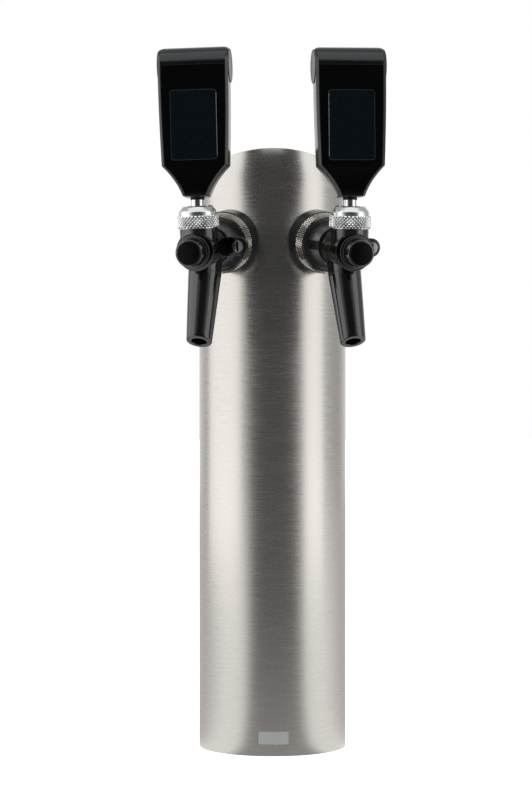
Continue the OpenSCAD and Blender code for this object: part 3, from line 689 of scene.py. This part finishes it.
# The levels of the sections: angles in degrees, and gaps in millimetres
loftSpec = {"footAngles": (20, 40, 60, 75, 90), "footGap": 0.001, "neck": 16, "crease": 0.25,
            "blade": 40, "rollAngles": range(0, 89, 4), "topGap": 0.002}


def handleHalfWidth(z):
    s = handleSpec
    up = z - s["foot"]
    if up < s["shoulder"]:
        u = max(up, 0.0) / s["shoulder"]
        share = (1 - s["neckBend"]) * u + s["neckBend"] * u * u
        return s["footWidth"] / 2 + (s["shoulderWidth"] - s["footWidth"]) / 2 * share
    v = (up - s["shoulder"]) / (s["height"] - s["shoulder"])
    half = s["shoulderWidth"] / 2 + (s["topWidth"] - s["shoulderWidth"]) / 2 * v
    half += s["sideBulge"] * math.sin(math.pi * v)
    below = z - (handleTop - s["cornerRound"])
    if below > 0:
        half += math.sqrt(max(0.0, s["cornerRound"] ** 2 - below ** 2)) - s["cornerRound"]
    return half


def handleDepth(z):
    s = handleSpec
    up = z - rollAt
    roll = math.sqrt(max(0.0, s["rollRadius"] ** 2 - up ** 2))
    if up > 0:
        return rollBack - roll, rollBack + roll
    return -s["front"], max(s["blade"] - s["front"], rollBack + roll)


def handleSection(z, inset=0.0):
    s, thin = handleSpec, thinSpec
    half = handleHalfWidth(z) - inset
    front, back = handleDepth(z)
    front, back = front + inset, back - inset
    depth = max(back - front, thin["leastDepth"])
    bevel = min(s["bevel"], depth * thin["bevel"], half * thin["ofWidth"])
    deep = min(s["bevelDeep"], depth * thin["bevelDeep"])
    rounding = min(s["backRound"], depth * thin["back"], half * thin["ofWidth"])
    corners = [(-half + bevel, front, s["bevelRound"]), (half - bevel, front, s["bevelRound"]),
               (half, front + deep, s["sideRound"]), (half, back, rounding),
               (-half, back, rounding), (-half, front + deep, s["sideRound"])]
    corners = [(x, y, max(min(r, depth * thin["round"]), thin["leastRound"]))
               for x, y, r in corners]
    return [(p.x, p.y, z) for p in roundOutline(corners, steps=4)]


def handleShell(sideName, side):
    s, loft = handleSpec, loftSpec
    foot, shoulder = s["foot"], s["foot"] + s["shoulder"]
    levels = [(foot, s["footRound"])]
    for angle in map(math.radians, loft["footAngles"]):
        levels.append((foot + s["footRound"] * (1 - math.cos(angle)) + loft["footGap"],
                       s["footRound"] * (1 - math.sin(angle))))
    levels += [(foot + s["footRound"] + (s["shoulder"] - s["footRound"]) * i / loft["neck"], 0.0)
               for i in range(1, loft["neck"])]
    levels += [(shoulder + gap, 0.0) for gap in (-loft["crease"], 0.0, loft["crease"])]
    levels += [(shoulder + (rollAt - shoulder) * i / loft["blade"], 0.0)
               for i in range(1, loft["blade"])]
    levels += [(rollAt + s["rollRadius"] * math.sin(math.radians(a)), 0.0)
               for a in loft["rollAngles"]]
    levels.append((handleTop - loft["topGap"], 0.0))
    bm = bmesh.new()
    addSkin(bm, [handleSection(z, inset) for z, inset in levels], handlePlace(side))
    finishMesh(sideName + "HandleShell", bm, materials["handle"], sideName + "_handle",
               (sideName + "_handle_shell",), angle=28)


# The panel lies in the front, and the window lies in the panel, with a raised line round it and a
# lighter strip along its inner side, a painted highlight where the line catches the light.

panelSpec = {"rim": 2.0, "proud": 0.12, "thick": 0.7, "overRoll": 0.1, "bevel": 0.12,
             "neck": 12, "blade": 8}
windowSpec = {"width": 30.4, "height": 45.6, "round": 2.6, "lift": 3.3, "line": 0.42,
              "proud": 0.10, "thick": 0.5, "sunk": 0.4, "lineDeep": 0.2, "lineEdge": 0.04,
              "crown": 0.998, "glintShare": 0.8, "glintRound": 0.1, "glintDeep": 0.07,
              "glintThick": 0.1}


def facePlace(side, front):
    return handlePlace(side) @ shift(0, front, 0) @ turnBy(90, "X")


def handlePanel(sideName, side):
    s, p = handleSpec, panelSpec
    top = rollAt + p["overRoll"]
    heights = [s["foot"] + p["rim"] + (s["shoulder"] - p["rim"]) * i / p["neck"]
               for i in range(p["neck"] + 1)]
    heights += [s["foot"] + s["shoulder"] + (top - s["foot"] - s["shoulder"]) * i / p["blade"]
                for i in range(1, p["blade"] + 1)]
    right = [(handleHalfWidth(z) - p["rim"], z) for z in heights]
    outline = right + [(-x, z) for x, z in reversed(right)]
    front = -s["front"] - p["proud"] + p["thick"]
    bm = bmesh.new()
    addPlate(bm, outline, p["thick"], facePlace(side, front), p["bevel"])
    finishMesh(sideName + "HandlePanel", bm, materials["panel"], sideName + "_handle",
               (sideName + "_handle_panel",), angle=25)


def handleWindow(sideName, side):
    s, p, w = handleSpec, panelSpec, windowSpec
    middle = s["foot"] + s["shoulder"] + w["lift"] + w["height"] / 2
    front = -s["front"] - p["proud"] - w["proud"]
    body = sideName + "_handle"
    outer = roundedRectangle(w["width"], w["height"], w["round"], middle)
    inner = roundedRectangle(w["width"] - w["line"] * 2, w["height"] - w["line"] * 2,
                             w["round"] - w["line"], middle)
    glassBack = front + w["thick"] + w["proud"] * w["sunk"]
    bm = bmesh.new()
    addPlate(bm, inner, w["thick"], facePlace(side, glassBack))
    finishMesh(sideName + "Window", bm, materials["window"], body,
               (sideName + "_handle_window",), angle=25)

    rings = []
    for along, share, depth in ((outer, 1.0, w["lineDeep"]), (outer, 1.0, w["lineEdge"]),
                                (outer, w["crown"], 0.0), (inner, 1.0, 0.0),
                                (inner, 1.0, w["lineEdge"]), (inner, 1.0, w["lineDeep"])):
        rings.append([(q.x * share, front + depth, q.y) for q in along])
    bm = bmesh.new()
    addSkin(bm, rings, handlePlace(side), closed=True)
    finishMesh(sideName + "WindowLine", bm, materials["line"], body, (), angle=25)

    # Painted highlight: a lighter strip on the column side of the window line.
    glint = roundedRectangle(w["line"] * w["glintShare"], w["height"] - 2 * w["round"],
                              w["glintRound"], middle, steps=2)
    across = -side * (w["width"] - w["line"]) / 2
    bm = bmesh.new()
    addPlate(bm, glint, w["glintThick"],
             facePlace(side, front + w["glintDeep"]) @ shift(across, 0, 0))
    finishMesh(sideName + "WindowPaintedGlint", bm, materials["paintedGlintLine"], body, (),
               angle=25)


# Round discs at the ends of the handle's top, and two dark dots under the left one, painted shadow
# in the corner where the top roll meets the blade's back

# The hole and dot entries size the two dark dots of painted shadow.
discSpec = {"radius": 11.2, "proud": 0.6, "thick": 2.2, "round": 0.8, "dish": 9.4,
            "dishEdge": 0.3, "dishDeep": 0.08, "hole": 0.45, "dotDeep": 0.5, "dotProud": 0.02,
            "dotDrops": (12.6, 14.9), "segments": 72, "dotSegments": 16}


def handleDiscs(sideName, side):
    s, d = handleSpec, discSpec
    outline = roundOutline([(0, 0), (d["radius"], 0), (d["radius"], d["thick"], d["round"]),
                            (d["dish"] + d["dishEdge"], d["thick"]),
                            (d["dish"], d["thick"] - d["dishDeep"]),
                            (0, d["thick"] - d["dishDeep"])], steps=4)
    out = s["topWidth"] / 2 - d["thick"] + d["proud"]
    bm = bmesh.new()
    for end in (-1, 1):
        place = shift(end * out, rollBack, rollAt) @ turnBy(90 * end, "Y")
        addTurned(bm, outline, d["segments"], handlePlace(side) @ place)
    finishMesh(sideName + "HandleDiscs", bm, materials["disc"], sideName + "_handle",
               (sideName + "_handle_discs",), angle=25)


# The dots are painted shadow: dark studs sunk into the side where shade falls, not holes.
def junctionShadeDots(sideName, side):
    d = discSpec
    depth = d["dotDeep"] + d["dotProud"]
    bm = bmesh.new()
    for drop in d["dotDrops"]:
        z = rollAt - drop
        place = shift(handleHalfWidth(z) - d["dotDeep"], 0, z) @ turnBy(90, "Y")
        addTurned(bm, [(0, 0), (d["hole"], 0), (d["hole"], depth), (0, depth)],
                  d["dotSegments"], handlePlace(side) @ place)
    finishMesh(sideName + "JunctionShadeDots", bm, materials["hole"], sideName + "_handle",
               (), angle=30)


# Spout, with a round lip at its tip, which is slanted over the lower half

spoutSpec = {"root": 18.7, "length": 47.5, "top": 10.9, "topRound": 0.3, "tip": 8.4, "bore": 5.1,
             "boreRound": 0.6, "slant": 9.0, "slantFrom": 0.5, "lip": 1.0, "thread": 7.45,
             "threadLength": 2.9, "step": 3.0, "segments": 96}


def spoutPiece(sideName, side):
    s = spoutSpec
    tip = s["root"] + s["length"]
    inside = s["root"] - s["threadLength"]
    outline = roundOutline([(s["bore"], inside), (s["thread"], inside), (s["thread"], s["root"]),
                            (s["top"], s["root"], s["topRound"]), (s["tip"], tip, s["lip"]),
                            (s["bore"], tip, s["boreRound"])])
    slope = math.tan(math.radians(s["slant"]))
    slanted = s["length"] * s["slantFrom"]

    def shape(a, r, t):
        x, y = r * math.cos(a), r * math.sin(a)
        along = max(0.0, (t - s["root"] - slanted) / slanted)
        return (x, y, t - slope * (s["tip"] + y) * along)

    bm = bmesh.new()
    addTurned(bm, divided(outline, s["step"]), s["segments"], spoutPlace(side), shape)
    finishMesh(sideName + "Spout", bm, materials["gloss"], "tower",
               (sideName + "_spout",), angle=30)


# Front cap, with a flange, a dark face and two spanner holes, drawn as dark discs of painted shade

capSpec = {"back": 51.8, "thread": 9.95, "seat": 54.6, "flange": 11.0, "flangeLow": 0.2,
           "flangeHigh": 0.5, "step": 57.0, "fillet": 0.35, "filletLong": 1.2, "filletRound": 0.3,
           "body": 9.1, "face": 67.0, "round": 1.0, "dome": 1.05, "segments": 96}
capFaceSpec = {"radius": 7.6, "under": 0.3, "seat": 0.5, "back": 0.6, "edge": 0.35, "round": 0.2,
               "middle": 0.02, "segments": 72}
capHoleSpec = {"radius": 1.1, "at": 60.6, "deep": 0.9, "proud": 0.08, "segments": 24}


def frontCap(sideName, side):
    s, f, h = capSpec, capFaceSpec, capHoleSpec
    seat = s["face"] - f["seat"]
    outline = roundOutline([(0, s["back"]), (s["thread"], s["back"]), (s["thread"], s["seat"]),
                            (s["flange"], s["seat"], s["flangeLow"]),
                            (s["flange"], s["step"], s["flangeHigh"]),
                            (s["body"] + s["fillet"], s["step"], s["filletRound"]),
                            (s["body"], s["step"] + s["filletLong"], s["filletRound"]),
                            (s["body"], s["face"] - s["dome"], s["round"]),
                            (f["radius"] - f["under"], seat), (0, seat)], steps=6)
    bm = bmesh.new()
    addTurned(bm, outline, s["segments"], tapFitted(side) @ alongTap)
    finishMesh(sideName + "FrontCap", bm, materials["gloss"], "tower",
               (sideName + "_front_cap",), angle=30)

    face = roundOutline([(0, s["face"] - f["back"]), (f["radius"], s["face"] - f["back"]),
                         (f["radius"], s["face"] - f["edge"], f["round"]),
                         (0, s["face"] - f["middle"])], steps=4)
    bm = bmesh.new()
    addTurned(bm, face, f["segments"], tapFitted(side) @ alongTap)
    finishMesh(sideName + "CapFace", bm, materials["capFace"], "tower", (), angle=30)

    # Painted shade: dark discs stand in for the spanner holes.
    depth = h["deep"] + h["proud"]
    bm = bmesh.new()
    for end in (-1, 1):
        place = shift(end * (s["body"] - h["deep"]), -h["at"], 0) @ turnBy(90 * end, "Y")
        addTurned(bm, [(0, 0), (h["radius"], 0), (h["radius"], depth), (0, depth)],
                  h["segments"], tapFitted(side) @ place)
    finishMesh(sideName + "CapHoleShade", bm, materials["hole"], "tower", (), angle=30)


# Flow ring with its wing, all edges bevelled, and the wing's screw, whose slot is a dark plate of
# painted shade

ringSpec = {"at": 24.0, "end": 31.6, "radius": 12.8, "inner": 10.9, "lowRound": 0.4,
            "highRound": 0.6, "reach": 21.7, "wing": 12.7, "thick": 3.6, "bevel": 0.8,
            "into": 0.8, "turn": 6, "segments": 96}
screwSpec = {"head": 3.9, "headThick": 1.2, "headRound": 0.45, "into": 0.5, "slotHalf": 0.75,
             "slotReach": 3.3, "slotDeep": 0.8, "slotProud": 0.02, "segments": 48}


def flowRing(sideName, side):
    s = ringSpec
    place = tapFitted(side) @ alongTap
    half = s["wing"] / 2
    start = math.sqrt(s["radius"] ** 2 - half ** 2) - s["into"]
    outline = [(start, -half)]
    for a in map(math.radians, range(180, -1, -s["turn"])):
        outline.append((s["reach"] + half * math.sin(a), half * math.cos(a)))
    outline.append((start, half))
    ring = roundOutline([(s["inner"], s["at"]), (s["radius"], s["at"], s["lowRound"]),
                         (s["radius"], s["end"], s["highRound"]), (s["inner"], s["end"])], steps=4)
    bm = bmesh.new()
    addPlate(bm, outline, s["thick"], place @ shift(0, 0, s["end"] - s["thick"]), s["bevel"])
    addTurned(bm, ring, s["segments"], place)
    finishMesh(sideName + "FlowRing", bm, materials["cap"], sideName + "_flow_lever",
               (sideName + "_flow_ring",), angle=25)


def flowScrew(sideName, side):
    s, end = screwSpec, ringSpec["end"]
    body = sideName + "_flow_lever"
    place = tapFitted(side) @ shift(ringSpec["reach"], 0, 0) @ alongTap
    top = end + s["headThick"]
    outline = roundOutline([(0, end - s["into"]), (s["head"], end - s["into"]),
                            (s["head"], top, s["headRound"]), (0, top)], steps=4)
    bm = bmesh.new()
    addTurned(bm, outline, s["segments"], place)
    finishMesh(sideName + "FlowScrew", bm, materials["screw"], body,
               (sideName + "_flow_screw",), angle=25)

    # Painted shade: the slot is a dark plate, not cut into the head.
    x, y = s["slotHalf"], s["slotReach"]
    bm = bmesh.new()
    addPlate(bm, [(-x, -y), (x, -y), (x, y), (-x, y)], s["slotDeep"] + s["slotProud"],
             place @ shift(0, 0, top - s["slotDeep"]))
    finishMesh(sideName + "ScrewSlotShade", bm, materials["hole"], body, (), angle=25)


# Column: a tube with a slanted top and a soft edge

columnSpec = {"radius": 50.8, "wall": 2.0, "front": 410.0, "slope": 25.0, "edge": 0.5,
              "edgeBend": 0.3, "footEdge": 0.2, "rows": 24, "segments": 256}


def columnTube():
    s = columnSpec
    fall = math.tan(math.radians(s["slope"]))
    inner = s["radius"] - s["wall"]
    bend = s["edge"] * s["edgeBend"]

    def top(a, r, t):
        x, y = r * math.cos(a), r * math.sin(a)
        drop = fall * (y + s["radius"])
        share = (t - s["edge"]) / (s["front"] - s["edge"])
        return (x, y, t - drop * max(share, 0.0))

    outline = [(inner, 0.0), (s["radius"] - s["footEdge"], 0.0), (s["radius"], s["footEdge"])]
    outline += [(s["radius"], s["front"] * i / s["rows"]) for i in range(1, s["rows"])]
    outline += [(s["radius"], s["front"] - s["edge"]), (s["radius"] - bend, s["front"] - bend),
                (s["radius"] - s["edge"], s["front"]), (inner, s["front"])]
    bm = bmesh.new()
    addTurned(bm, outline, s["segments"], Matrix.Scale(mm, 4), top)
    finishMesh("columnTube", bm, materials["column"], "tower", ("tower_tube",),
               angle=30)


columnTube()
for sideName, side in sides.items():
    couplingNut(sideName, side)
    bonnetNut(sideName, side)
    bonnetDome(sideName, side)
    handleShell(sideName, side)
    handlePanel(sideName, side)
    handleWindow(sideName, side)
    handleDiscs(sideName, side)
    if side < 0:
        junctionShadeDots(sideName, side)
    spoutPiece(sideName, side)
    frontCap(sideName, side)
    flowRing(sideName, side)
    flowScrew(sideName, side)
    print(sideName, "tap made")
